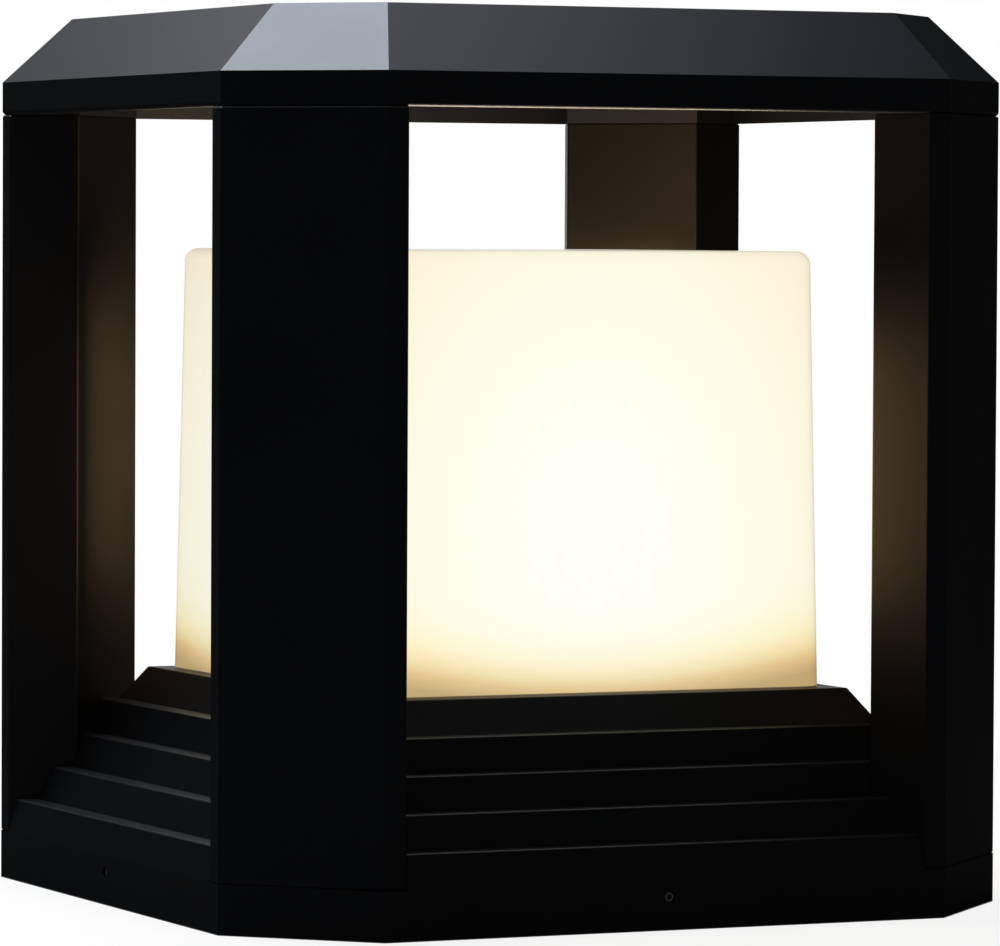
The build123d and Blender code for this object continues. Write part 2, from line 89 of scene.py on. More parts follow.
# %% [markdown]
# ## The camera
# The picture was taken from a little left of the front, level with the upper half of the light, with a long
# lens. The camera could be set by eye, but edges that must fall on edges show every error. So its place,
# its lens and its three turns come from a fit of the body's edges to the picture. A long lens keeps the
# upright edges nearly parallel. The picture's frame is 1000 pixels wide, so the lens follows from its focal
# length in pixels and the width of the sensor.

# %% Camera
CAMERA_PLACE = (-0.9639, -2.1167, 0.2395)
CAMERA_YAW = math.radians(24.56)
CAMERA_TILT = math.radians(-2.16)
CAMERA_ROLL = math.radians(0.28)
PICTURE_WIDTH = 1000
FOCAL_PIXELS = 6398.0
FARTHEST_SEEN = 100.0

camera_data = bpy.data.cameras.new("camera")
camera_data.lens = camera_data.sensor_width * FOCAL_PIXELS / PICTURE_WIDTH
camera_data.clip_end = FARTHEST_SEEN
camera = bpy.data.objects.new("camera", camera_data)
scene.collection.objects.link(camera)
turn = Matrix.Rotation(-CAMERA_YAW, 4, "Z")
turn = turn @ Matrix.Rotation(math.pi / 2 + CAMERA_TILT, 4, "X")
turn = turn @ Matrix.Rotation(CAMERA_ROLL, 4, "Z")
camera.matrix_world = Matrix.Translation(CAMERA_PLACE) @ turn
scene.camera = camera
print("lens:", round(camera_data.lens, 1), "mm")

# %% [markdown]
# ## Surfaces from grids
# Every new surface here is a grid: rows along one parameter and columns along another, worked out as whole
# arrays. Blender's own tools could spin and cut the same shapes, but a formula says exactly where each
# point lies. One helper numbers the corners of the grid's quads, and one turns grids into a mesh. Points
# that fall on one another, as at a pole, are merged, and the faces are then turned outwards.

# %% Grid helpers
SHARP_ANGLE = math.radians(35)
MERGE_WITHIN = 0.002 * MM
SLIVER = 0.001 * MM  # faces with edges shorter than this are taken out


def quad_corners(rows, columns, closed):
    """Corner numbers of a grid's quads: a point, its right neighbour and the two above them.
    A closed grid joins its last column to its first."""
    across = columns if closed else columns - 1
    row, column = np.meshgrid(np.arange(rows - 1), np.arange(across), indexing="ij")
    right = (column + 1) % columns
    low, high = row * columns, (row + 1) * columns
    return np.stack([low + column, low + right, high + right, high + column], axis=-1).reshape(-1, 4)


def mesh_from_grids(name, grids, closed=True):
    """One mesh from several grids of points, each of shape rows, columns and 3."""
    points, faces, start = [], [], 0
    for grid in grids:
        points.append(grid.reshape(-1, 3))
        faces.append(quad_corners(grid.shape[0], grid.shape[1], closed) + start)
        start += grid.shape[0] * grid.shape[1]
    mesh = bpy.data.meshes.new(name)
    mesh.from_pydata(np.concatenate(points), [], np.concatenate(faces).tolist())
    work = bmesh.new()
    work.from_mesh(mesh)
    bmesh.ops.remove_doubles(work, verts=work.verts, dist=MERGE_WITHIN)
    bmesh.ops.dissolve_degenerate(work, edges=work.edges, dist=SLIVER)
    if closed:
        bmesh.ops.recalc_face_normals(work, faces=work.faces)
    work.to_mesh(mesh)
    work.free()
    mesh.shade_smooth()
    mesh.set_sharp_from_angle(angle=SHARP_ANGLE)
    return mesh


def new_object(name, mesh):
    """An object at the origin that shows the mesh."""
    thing = bpy.data.objects.new(name, mesh)
    scene.collection.objects.link(thing)
    return thing


print("quads in a closed grid of 3 rows and 8 columns:", len(quad_corners(3, 8, True)))

# %% [markdown]
# ## Finishes from nodes
# Each finish is a shader with its constant numbers set on its own sockets and its variation worked out by
# nodes in Object coordinates, so the pattern keeps its real scale in metres and moves with its piece.
# Pictures wrapped round the pieces would need unwrapping and would blur close up. The helpers below only
# shorten the wiring.

# %% Wiring helpers
def feed(socket, value):
    """Links a socket to another node's output, or sets it to a number, colour or vector."""
    if isinstance(value, bpy.types.NodeSocket):
        socket.id_data.links.new(value, socket)
    elif hasattr(socket.default_value, "__len__") and len(socket.default_value) == 4 and len(value) == 3:
        socket.default_value = (*value, 1.0)
    else:
        socket.default_value = value


def add_node(tree, kind, settings=None, **inputs):
    """A new node with its settings made and its named inputs fed."""
    node = tree.nodes.new(kind)
    for key, value in (settings or {}).items():
        setattr(node, key, value)
    for key, value in inputs.items():
        feed(node.inputs[key.replace("_", " ")], value)
    return node


def blank_finish(name, **sockets):
    """A material with one Principled shader, its named sockets set, and the place on the piece, in metres."""
    material = bpy.data.materials.new(name)
    material.use_nodes = True
    tree = material.node_tree
    shader = tree.nodes["Principled BSDF"]
    for key, value in sockets.items():
        feed(shader.inputs[key.replace("_", " ")], value)
    place = tree.nodes.new("ShaderNodeTexCoord").outputs["Object"]
    return material, tree, shader, place


def number_sum(tree, operation, *values):
    """One step of arithmetic on numbers."""
    node = add_node(tree, "ShaderNodeMath", {"operation": operation})
    for socket, value in zip(node.inputs, values):
        feed(socket, value)
    return node.outputs[0]


def vector_sum(tree, operation, *values):
    """One step of arithmetic on places. LENGTH gives a number, and the others a place."""
    node = add_node(tree, "ShaderNodeVectorMath", {"operation": operation})
    for socket, value in zip(node.inputs, values):
        feed(socket, value)
    return node.outputs["Value" if operation == "LENGTH" else "Vector"]


def part_of(tree, place, axis):
    """The part of a place along X, Y or Z."""
    return add_node(tree, "ShaderNodeSeparateXYZ", Vector=place).outputs[axis]


helpers = (feed, add_node, blank_finish, number_sum, vector_sum, part_of)
print("helpers for the wiring:", [helper.__name__ for helper in helpers])

# %% Pattern helpers
NOISE_SPAN = (0.3, 0.7)  # nearly all of a noise lies between these


def noise(tree, place, size, detail=2.0, output="Fac"):
    """Noise between 0 and 1 whose grains are about this many millimetres across."""
    node = add_node(tree, "ShaderNodeTexNoise", Vector=place, Scale=1 / (size * MM), Detail=detail)
    return node.outputs[output]


def ranged(tree, value, low, high, to_low, to_high, ease="LINEAR"):
    """A value carried from one range to another, and held at its ends."""
    node = add_node(tree, "ShaderNodeMapRange", {"interpolation_type": ease}, Value=value)
    for name, number in zip(("From Min", "From Max", "To Min", "To Max"), (low, high, to_low, to_high)):
        node.inputs[name].default_value = number
    return node.outputs[0]


def mixed(tree, share, first, second, how="MIX"):
    """Two colours mixed, or multiplied, by a share. The node's inputs 6 and 7 and its output 2 are colours."""
    node = add_node(tree, "ShaderNodeMix", {"data_type": "RGBA", "blend_type": how})
    feed(node.inputs[0], share)
    feed(node.inputs[6], first)
    feed(node.inputs[7], second)
    return node.outputs[2]


def bumped(tree, height, depth, normal=None):
    """A bump whose height runs over this many millimetres."""
    node = add_node(tree, "ShaderNodeBump", Height=height, Distance=depth * MM, Strength=1.0)
    if normal is not None:
        feed(node.inputs["Normal"], normal)
    return node.outputs["Normal"]


def colour_ramp(tree, value, stops):
    """Colour read from stops of place and colour, with straight runs between them."""
    node = add_node(tree, "ShaderNodeValToRGB", Fac=value)
    ramp = node.color_ramp
    while len(ramp.elements) < len(stops):
        ramp.elements.new(1.0)
    for element, (position, colour) in zip(ramp.elements, stops):
        element.position = position
        element.color = (*colour, 1.0)
    return node.outputs["Color"]


print("a grain of 2 mm is a noise of scale", 1 / (2 * MM))

# %% [markdown]
# ## The set: floor, air, lamps and black cards
# The picture shows the light cut out on white. More light would wash the object out, so the white comes
# from the set: rays from the camera, and those that go on by reflection or through glass, see a white floor
# and air. The other rays get an even, lower level, and the floor keeps its soft shadow.

# %% Floor
WHITE = (1.0, 1.0, 1.0)
FLOOR_GREY = (0.8, 0.8, 0.8)
FLOOR_REACH = 30.0
FLOOR_WHITE = 0.86  # share of plain white in what the camera sees of the floor, near the light
FLOOR_FADE = (0.25, 0.9)  # metres from the light over which the floor turns to plain white


def white_rays(tree):
    """1 for rays that should see the white set: from the camera, reflected, or through glass."""
    path = tree.nodes.new("ShaderNodeLightPath").outputs
    seen = number_sum(tree, "MAXIMUM", path["Is Camera Ray"], path["Is Glossy Ray"])
    return number_sum(tree, "MAXIMUM", seen, path["Is Transmission Ray"])


def floor_finish():
    """Pale matt floor that shows mostly white to the camera, and only white further off."""
    material = bpy.data.materials.new("pale_floor")
    material.use_nodes = True
    tree = material.node_tree
    tree.nodes.clear()
    matt = add_node(tree, "ShaderNodeBsdfDiffuse", Color=FLOOR_GREY)
    white = add_node(tree, "ShaderNodeEmission", Color=WHITE, Strength=1.0)
    off = vector_sum(tree, "LENGTH", tree.nodes.new("ShaderNodeTexCoord").outputs["Object"])
    fade = ranged(tree, off, *FLOOR_FADE, FLOOR_WHITE, 1.0, "SMOOTHSTEP")
    both = add_node(tree, "ShaderNodeMixShader", Fac=number_sum(tree, "MULTIPLY", white_rays(tree), fade))
    feed(both.inputs[1], matt.outputs[0])
    feed(both.inputs[2], white.outputs[0])
    feed(add_node(tree, "ShaderNodeOutputMaterial").inputs["Surface"], both.outputs[0])
    return material


def flat_sheet(left, right, near, far, height):
    """Level rectangle: its columns run from left to right, its rows from near to far."""
    across, along = np.meshgrid([left, right], [near, far])
    return np.stack([across, along, 0 * across + height], -1)


floor_grid = flat_sheet(-FLOOR_REACH, FLOOR_REACH, -FLOOR_REACH, FLOOR_REACH, 0.0)
floor = new_object("floor", mesh_from_grids("floor", [floor_grid], closed=False))
floor.data.materials.append(floor_finish())
print("floor:", 2 * FLOOR_REACH, "m wide")

# %% Air
AIR_LEVEL = 0.5

air = bpy.data.worlds.new("studio_air")
air.use_nodes = True
scene.world = air
air_tree = air.node_tree
air_tree.nodes.clear()
dim = add_node(air_tree, "ShaderNodeBackground", Color=WHITE, Strength=AIR_LEVEL)
bright = add_node(air_tree, "ShaderNodeBackground", Color=WHITE, Strength=1.0)
choice = add_node(air_tree, "ShaderNodeMixShader", Fac=white_rays(air_tree))
feed(choice.inputs[1], dim.outputs[0])
feed(choice.inputs[2], bright.outputs[0])
feed(add_node(air_tree, "ShaderNodeOutputWorld").inputs["Surface"], choice.outputs[0])
print("air level:", AIR_LEVEL)

# %% [markdown]
# A black, glossy thing on white is a known trouble: its upright faces mirror the white and turn grey. A
# duller coat would lose the shine of the roof. In a studio, black cards stand round such a thing, just out
# of the picture. Here they are a ring, higher towards the camera, with a doorway behind the light, a sheet
# on the floor and three flags overhead, and only reflections see them. Between the ring and the flags the
# air stays white for the roof's bevels to mirror.

# %% Black cards
CARD_GREY = (0.02, 0.02, 0.02)
RING_RADIUS = 1.5
RING_BACK, RING_FRONT = 0.985, 2.0  # height of the ring behind the light and towards the camera
RING_COLUMNS, DOOR_COLUMNS = 97, 81
DOOR_HEIGHT = 0.5
DOOR_FROM, DOOR_TO = math.radians(49), math.radians(82)


def black_card(name, grid):
    """A matt black surface that nothing but a reflection sees."""
    card = new_object(name, mesh_from_grids(name, [grid], closed=False))
    material, *_ = blank_finish(name, Base_Color=CARD_GREY, Roughness=1.0, Specular_IOR_Level=0.0)
    card.data.materials.append(material)
    for kind in ("camera", "diffuse", "transmission", "volume_scatter", "shadow"):
        setattr(card, f"visible_{kind}", False)


def ring_band(angles, low, high):
    """Upright band round the light: the angle runs along its columns, the height from low to high along its
    rows."""
    heights = np.stack([low + 0 * angles, high + 0 * angles])
    angles = angles + 0 * heights
    return np.stack([RING_RADIUS * np.cos(angles), RING_RADIUS * np.sin(angles), heights], -1)


round_angles = np.linspace(0, 2 * np.pi, RING_COLUMNS)
door_angles = np.linspace(DOOR_TO, DOOR_FROM + 2 * np.pi, DOOR_COLUMNS)
frontness = 0.5 - 0.5 * np.sin(round_angles)  # 1 straight in front and 0 straight behind
ring_top = RING_BACK + (RING_FRONT - RING_BACK) * frontness**2
black_card("ring_card", ring_band(round_angles, DOOR_HEIGHT, ring_top))
black_card("door_card", ring_band(door_angles, 0.0, DOOR_HEIGHT))
print("ring of cards:", RING_RADIUS, "m from the light")

# %% Sheet and flags
FLOOR_CARD_LIFT = 0.3 * MM
FLAG_HEIGHT = 1.3
FLAG_REACH = 3.0
FLAG_LEFT = -0.8
FLAG_FRONT = -0.4
RIGHT_FLAG_HEIGHT = 0.8
RIGHT_FLAG_SPAN = (0.27, 0.95)

black_card("floor_card", flat_sheet(-RING_RADIUS, RING_RADIUS, -RING_RADIUS, RING_RADIUS, FLOOR_CARD_LIFT))
black_card("right_flag", flat_sheet(*RIGHT_FLAG_SPAN, -FLAG_REACH, FLAG_REACH, RIGHT_FLAG_HEIGHT))
black_card("left_flag", flat_sheet(-FLAG_REACH, FLAG_LEFT, FLAG_FRONT, FLAG_REACH, FLAG_HEIGHT))
black_card("front_flag", flat_sheet(-FLAG_REACH, FLAG_REACH, -FLAG_REACH, FLAG_FRONT, FLAG_HEIGHT))
print("flags:", RIGHT_FLAG_HEIGHT, "and", FLAG_HEIGHT, "m over the floor")

# %% [markdown]
# A soft lamp overhead, a little behind and to the left, shines in the bevel over the nearest post. Brighter
# air would light every bevel alike, so it is a lamp of its own: a strip along that corner, wholly behind
# the plane of the post's own face, so that the face stays black.

# %% Overhead lamp
LAMP_PLACE = (-0.244, 0.293, 1.24)
LAMP_LONG, LAMP_SHORT = 0.7, 0.43
LAMP_TURN = math.radians(-45)  # its long sides run along the cut of the nearest corner
LAMP_POWER = 15.0
LAMP_COLOUR = (0.9, 0.95, 1.0)


def soft_lamp(name, place, facing, width, depth, power, colour, turn=0.0):
    """A soft rectangular lamp at a place that shines along its facing and isn't seen itself."""
    data = bpy.data.lights.new(name, "AREA")
    data.shape = "RECTANGLE"
    data.size, data.size_y = width, depth
    data.energy = power
    data.color = colour
    lamp = bpy.data.objects.new(name, data)
    scene.collection.objects.link(lamp)
    aim = Vector(facing).to_track_quat("-Z", "Y") @ Quaternion((0, 0, 1), turn)
    lamp.rotation_euler = aim.to_euler()
    lamp.location = place
    lamp.visible_camera = False
    return lamp


soft_lamp("soft_lamp", LAMP_PLACE, (0, 0, -1), LAMP_LONG, LAMP_SHORT, LAMP_POWER, LAMP_COLOUR, LAMP_TURN)
print("overhead lamp:", LAMP_POWER, "W, at", LAMP_PLACE)

# %% [markdown]
# The light's own glow does the rest. A real diffuser is far brighter than white paper, and warmer than a
# picture of it shows, since the picture runs out of range. More emission would only clip, so soft lamps
# that the camera doesn't see lie on the diffuser's faces, its top and its far corner, and move with the
# lantern. Light linking says which pieces a lamp reaches, and keeps apart what the picture shows apart:
# warm light on the posts, paler light on the roof's underside and lower edge, and the diffuser's own white
# on the ledges of the base.

# %% Glow lamps
WARM, PALE = (1.0, 0.605, 0.245), (1.0, 0.86, 0.67)
GLOW_GAP = 2.0 * MM  # from the diffuser to a lamp on it
UP = Vector((0, 0, 1))

diffuser_low, diffuser_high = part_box("diffuser")
bulb_low, bulb_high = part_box("bulb_globe")
glow_middle = (bulb_low + bulb_high) / 2


def link_light(source, state, names):
    """Lets a lamp, or a piece that glows, light only the named nodes, INCLUDE, or all but these, EXCLUDE."""
    linked = bpy.data.collections.new(f"lit_by_{source.name}")
    for name in names:
        linked.objects.link(frame["nodes"][name])
    for member in linked.collection_objects:
        member.light_linking.link_state = state
    source.light_linking.receiver_collection = linked


def glow_lamp(name, place, facing, wide, tall, power, colour):
    """A lamp on the diffuser, its sizes in millimetres. A warm one spares the base, and a pale one lights the
    roof alone."""
    lamp = soft_lamp(name, place, facing, wide * MM, tall * MM, power, colour)
    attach(lamp, "lantern")
    if colour == WARM:
        link_light(lamp, "EXCLUDE", ["stepped_base"])
    else:
        link_light(lamp, "INCLUDE", ["roof_cap"])


posts = [name for name in frame["nodes"] if name.startswith("post_")]
link_light(frame["nodes"]["diffuser"], "EXCLUDE", posts)
print("posts that the diffuser's own white spares:", posts)

# %% Glow of the four faces
OUTWARD = {"front": (0, -1, 0), "right": (1, 0, 0), "back": (0, 1, 0), "left": (-1, 0, 0)}
GLOW = {  # power, then in mm: shift along the face, width, height, and lift over the globe's middle
    "front": (0.1, 45.0, 110.0, 94.0, 15.0),
    "right": (0.3, 0.0, 110.0, 120.0, 25.0),
    "back": (0.33, 0.0, 160.0, 101.0, 22.0),
    "left": (0.1, 0.0, 110.0, 94.0, 15.0),
}
EDGE_POWER = {"front": 0.65, "right": 0.3, "back": 0.3, "left": 0.04}  # for the roof's lower edge
EDGE_SIZES = (0.0, 160.0, 108.0, 28.0)  # shift, width, height and lift, as above

for side, facing in OUTWARD.items():
    on_face = glow_middle + Vector(facing) * (diffuser_high.x + GLOW_GAP)
    for kind, colour, (power, shift, wide, tall, lift) in (
        ("glow", WARM, GLOW[side]),
        ("edge", PALE, (EDGE_POWER[side], *EDGE_SIZES)),
    ):
        place = on_face + UP.cross(facing) * shift * MM + UP * lift * MM
        glow_lamp(f"{kind}_{side}", place, facing, wide, tall, power, colour)
print("glow lamps round", [round(value / MM) for value in glow_middle], "mm")

# %% Glow of the far corner and the top
CORNER_POWER = 0.25
CORNER_WIDE, CORNER_TALL, CORNER_LIFT = 20.0, 120.0, 19.0
CORNER_ROUND = 10.0 * MM  # radius of the diffuser's upright edges
TOP_GLOW, ROOF_GLOW = 0.2, 0.24
TOP_WIDTH = 110.0

far_corner = Vector((1, 1, 0)).normalized()
corner_reach = math.sqrt(2) * (diffuser_high.x - CORNER_ROUND) + CORNER_ROUND + GLOW_GAP
place = glow_middle + far_corner * corner_reach + UP * CORNER_LIFT * MM
glow_lamp("glow_corner", place, far_corner, CORNER_WIDE, CORNER_TALL, CORNER_POWER, WARM)
place = Vector((glow_middle.x, glow_middle.y, diffuser_high.z + GLOW_GAP))
glow_lamp("glow_top", place, UP, TOP_WIDTH, TOP_WIDTH, TOP_GLOW, WARM)
glow_lamp("glow_roof", place, UP, TOP_WIDTH, TOP_WIDTH, ROOF_GLOW, PALE)
print("corner lamp:", round(corner_reach / MM), "mm out, top lamps at", round(place.z / MM), "mm")

# %% [markdown]
# ## Black powder coat
# The roof, the posts and the base are aluminium under one coat of baked powder. It is deep black and half
# glossy, and close to it shows the fine, even ripple of melted powder. A painted texture would show its
# pixels, so two noises do it: a fine grain, and a wider ripple. Both only tilt the surface a little, and a
# third, wide one varies the gloss.

# %% Black coat
COAT_SHINE, COAT_SHINE_TINT = 0.6, (0.8, 0.86, 1.0)
COAT_DARK, COAT_LIGHT = (0.0017, 0.0019, 0.0024), (0.0025, 0.0028, 0.0035)
COAT_ROUGHNESS = (0.41, 0.45)
CLOUD_SIZE = 45.0
RIPPLE_SIZE, RIPPLE_DEPTH = 2.4, 0.012
POWDER_SIZE, POWDER_DEPTH = 0.5, 0.006


def black_coat():
    """Half-gloss black coat with a fine grain and a soft ripple."""
    material, tree, shader, place = blank_finish(
        "black_coat", Specular_Tint=COAT_SHINE_TINT, Specular_IOR_Level=COAT_SHINE
    )
    cloud = noise(tree, place, CLOUD_SIZE)
    feed(shader.inputs["Base Color"], mixed(tree, cloud, COAT_DARK, COAT_LIGHT))
    feed(shader.inputs["Roughness"], ranged(tree, cloud, *NOISE_SPAN, *COAT_ROUGHNESS))
    ripple = bumped(tree, noise(tree, place, RIPPLE_SIZE), RIPPLE_DEPTH)
    feed(shader.inputs["Normal"], bumped(tree, noise(tree, place, POWDER_SIZE), POWDER_DEPTH, ripple))
    return material


FINISHES = {"black_coat": black_coat()}
print("coat: ripples of", RIPPLE_SIZE, "mm under grains of", POWDER_SIZE, "mm")

# %% [markdown]
# ## Opal diffuser
# The diffuser is a milky box lit by the bulb inside. Its faces are whitest level with the bulb and turn to
# cream towards the corners, and they are dimmest, a warm tan, in the last centimetre over the base, where
# the base hides the bulb. Real scattering would need very many samples, so the glow is worked out: the
# distance to the bulb gives one colour, the height over the base gives another, and their product shines. A
# glossy skin lies over it, which also dims the glow where a face is seen at a slant.

# %% Opal colours
NEAR_GLOW = [  # by the distance to the bulb
    (0.0, (1.0, 1.0, 0.95)),
    (0.25, (1.0, 1.0, 0.87)),
    (0.6, (1.0, 0.97, 0.77)),
    (1.0, (1.0, 0.9, 0.7)),
]
FOOT_GLOW = [  # by the height over the base
    (0.0, (0.54, 0.4, 0.22)),
    (0.167, (0.78, 0.58, 0.33)),
    (0.278, (0.9, 0.77, 0.52)),
    (0.389, (0.97, 0.87, 0.67)),
    (0.5, (0.99, 0.95, 0.79)),
    (0.722, (1.0, 0.99, 0.93)),
    (1.0, (1.0, 1.0, 1.0)),
]
OPAL_BASE = (0.14, 0.13, 0.11)
OPAL_STRENGTH = 0.98
SKIN_ROUGHNESS = 0.25
print("stops of the glow:", len(NEAR_GLOW), "by distance and", len(FOOT_GLOW), "by height")

# %% Opal
BULB_CENTRE = (0.0, 0.0, bulb_high.z - (bulb_high.x - bulb_low.x) / 2)
UPRIGHT_SHARE = 0.8  # the glow reaches further up and down than across
NEAR, FAR = 88.0 * MM, 140.0 * MM  # from the bulb's centre to the nearest and farthest glow
SHADE_START, SHADE_END = -6.0 * MM, 30.0 * MM  # over the diffuser's foot
SHADE_LIFT, LIFT_FROM = 0.35, 97.0 * MM  # the shade climbs by this share of the distance over LIFT_FROM


def opal():
    """Lit opal: one colour by the distance to the bulb times one by the height over the base."""
    material, tree, shader, place = blank_finish(
        "opal",
        Base_Color=OPAL_BASE,
        Specular_IOR_Level=0.0,
        Coat_Weight=1.0,
        Coat_Roughness=SKIN_ROUGHNESS,
        Emission_Strength=OPAL_STRENGTH,
    )
    from_bulb = vector_sum(tree, "SUBTRACT", place, BULB_CENTRE)
    squeezed = vector_sum(tree, "MULTIPLY", from_bulb, (1.0, 1.0, UPRIGHT_SHARE))
    reach = vector_sum(tree, "LENGTH", squeezed)
    far = ranged(tree, reach, NEAR, FAR, 0.0, 1.0)
    lift = ranged(tree, reach, LIFT_FROM, FAR, 0.0, SHADE_LIFT * (FAR - LIFT_FROM))
    height = number_sum(tree, "SUBTRACT", part_of(tree, place, "Z"), lift)
    shade = ranged(tree, height, diffuser_low.z + SHADE_START, diffuser_low.z + SHADE_END, 0.0, 1.0)
    by_reach, by_height = colour_ramp(tree, far, NEAR_GLOW), colour_ramp(tree, shade, FOOT_GLOW)
    feed(shader.inputs["Emission Color"], mixed(tree, 1.0, by_reach, by_height, "MULTIPLY"))
    return material


FINISHES["opal"] = opal()
print("glow centred", round(BULB_CENTRE[2] / MM), "mm up")

# %% [markdown]
# ## Metals inside
# Under the lantern is plain hardware: a galvanised plate and bracket with the frost of zinc crystals, zinc
# plated screws with a faint blue and yellow cast, brass in the lampholder, a nickel plated cap on the bulb,
# and set screws of blackened steel, whose outer ends the key has rubbed bright. A metal shows mostly its
# surroundings, so a plain colour would look like paint. What tells them apart is their tint and how their
# gloss varies. The crystals are cells of a Voronoi pattern, each with its own shade.

# %% Galvanised steel
ZINC_METAL = 0.65  # between metal and the dull grey of weathered zinc
ZINC_DARK, ZINC_LIGHT = (0.46, 0.48, 0.5), (0.62, 0.64, 0.66)
ZINC_ROUGHNESS = (0.3, 0.5)
CRYSTAL_SIZE = 5.5 * MM
CRINKLE = (2.0 * MM, 2.0 * MM, 2.0 * MM)  # how far a crystal's border wanders
CRINKLE_SIZE, CRINKLE_DETAIL = 1.8, 3.0
DIMPLE_SIZE, DIMPLE_DEPTH = 1.5, 0.01


def galvanised():
    """Zinc crystals some millimetres wide, with crinkled borders, each with its own shade and gloss."""
    material, tree, shader, place = blank_finish("galvanised", Metallic=ZINC_METAL)
    wander = noise(tree, place, CRINKLE_SIZE, CRINKLE_DETAIL, "Color")
    crinkled = vector_sum(tree, "MULTIPLY_ADD", wander, CRINKLE, place)
    crystals = add_node(tree, "ShaderNodeTexVoronoi", Vector=crinkled, Scale=1 / CRYSTAL_SIZE)
    tone = add_node(tree, "ShaderNodeSeparateColor", Color=crystals.outputs["Color"])
    feed(shader.inputs["Base Color"], mixed(tree, tone.outputs[0], ZINC_DARK, ZINC_LIGHT))
    feed(shader.inputs["Roughness"], ranged(tree, tone.outputs[1], 0.0, 1.0, *ZINC_ROUGHNESS))
    feed(shader.inputs["Normal"], bumped(tree, noise(tree, place, DIMPLE_SIZE), DIMPLE_DEPTH))
    return material


FINISHES["galvanised"] = galvanised()
print("zinc crystals:", CRYSTAL_SIZE / MM, "mm")

# %% Plated metals
METAL = 0.8
PATCH_SPAN = (0.35, 0.7)
PATCH_DETAIL = 4.0
SMEARS_PER_PATCH = 4
BRUSH_SIZE, BRUSH_DEPTH = 0.3, 0.004
PLATED = {  # fresh tint, dull tint, roughness from and to, size of the patches in mm
    "zinc_steel": ((0.56, 0.58, 0.63), (0.66, 0.64, 0.58), (0.24, 0.4), 5.0),
    "brass": ((0.74, 0.54, 0.25), (0.5, 0.33, 0.14), (0.2, 0.36), 6.0),
    "nickel": ((0.74, 0.71, 0.66), (0.62, 0.59, 0.54), (0.24, 0.36), 4.0),
}


def worn_metal(name, fresh, dull, roughness, patch_size):
    """Metal between a fresh and a dull tint in soft patches, with a gloss that varies more finely."""
    material, tree, shader, place = blank_finish(name, Metallic=METAL)
    patch = ranged(tree, noise(tree, place, patch_size, PATCH_DETAIL), *PATCH_SPAN, 0.0, 1.0)
    smear = noise(tree, place, patch_size / SMEARS_PER_PATCH, PATCH_DETAIL)
    feed(shader.inputs["Base Color"], mixed(tree, patch, fresh, dull))
    feed(shader.inputs["Roughness"], ranged(tree, smear, *NOISE_SPAN, *roughness))
    feed(shader.inputs["Normal"], bumped(tree, noise(tree, place, BRUSH_SIZE), BRUSH_DEPTH))
    return material


for name, numbers in PLATED.items():
    FINISHES[name] = worn_metal(name, *numbers)
print("plated metals:", list(PLATED))

# %% Rubbed steel
RUBBED_END, RUBBED_BARE = 0.8 * MM, 0.2 * MM  # how far in the key has rubbed the end bright, and quite bare
STEEL_BLACK, STEEL_BARE = (0.045, 0.043, 0.045), (0.28, 0.28, 0.28)
STEEL_ROUGHNESS = (0.28, 0.42)
STEEL_GRAIN = 0.4


def rubbed_steel():
    """Blackened steel, rubbed to bare metal at the outer end: the larger of the places along x and y, without
    their signs, tells it."""
    material, tree, shader, place = blank_finish("black_steel", Metallic=METAL)
    across, along = (number_sum(tree, "ABSOLUTE", part_of(tree, place, axis)) for axis in "XY")
    reach = number_sum(tree, "MAXIMUM", across, along)
    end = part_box("set_screw_right")[1].x
    rubbed = ranged(tree, reach, end - RUBBED_END, end - RUBBED_BARE, 0.0, 1.0)
    grain = noise(tree, place, STEEL_GRAIN)
    feed(shader.inputs["Base Color"], mixed(tree, rubbed, STEEL_BLACK, STEEL_BARE))
    feed(shader.inputs["Roughness"], ranged(tree, grain, *NOISE_SPAN, *STEEL_ROUGHNESS))
    return material


FINISHES["black_steel"] = rubbed_steel()
print("set screws rubbed over their last", RUBBED_END / MM, "mm")

# %% [markdown]
# ## Porcelain, plastics and rubber
# The lampholder is glazed porcelain, the terminal block and the bulb's housing are moulded plastic, the
# leads wear coloured sheaths, the bush is rubber and the gasket silicone. Each could have its own wiring,
# but all are the same thing to a shader: two close tones in soft patches, a gloss, and a grain of its own
# size. So one function makes them from a table. The earth lead differs: its sheath is green with a yellow
# stripe along it, which the place across the lead gives.

# %% Porcelain, plastics and rubber
TONE_SIZE = 12.0
GLAZE_ROUGHNESS = 0.08
MOULDED = {  # dark tone, light tone, roughness, size and depth of the grain in mm, weight of a glaze
    "porcelain": ((0.7, 0.69, 0.65), (0.78, 0.77, 0.73), 0.3, 7.0, 0.03, 0.6),
    "block_plastic": ((0.62, 0.59, 0.5), (0.68, 0.65, 0.56), 0.45, 0.4, 0.01, 0.0),
    "white_plastic": ((0.7, 0.7, 0.68), (0.75, 0.75, 0.73), 0.4, 0.5, 0.01, 0.0),
    "white_board": ((0.66, 0.68, 0.64), (0.74, 0.76, 0.72), 0.5, 0.8, 0.02, 0.0),
    "brown_pvc": ((0.1, 0.04, 0.018), (0.13, 0.055, 0.024), 0.38, 1.0, 0.006, 0.0),
    "blue_pvc": ((0.02, 0.08, 0.32), (0.03, 0.1, 0.38), 0.38, 1.0, 0.006, 0.0),
    "rubber": ((0.016, 0.016, 0.017), (0.026, 0.026, 0.027), 0.7, 0.4, 0.02, 0.0),
    "silicone": ((0.46, 0.46, 0.44), (0.54, 0.54, 0.52), 0.55, 0.6, 0.015, 0.0),
    "black_glass": ((0.012, 0.01, 0.014), (0.02, 0.017, 0.022), 0.1, 5.0, 0.02, 0.0),
}


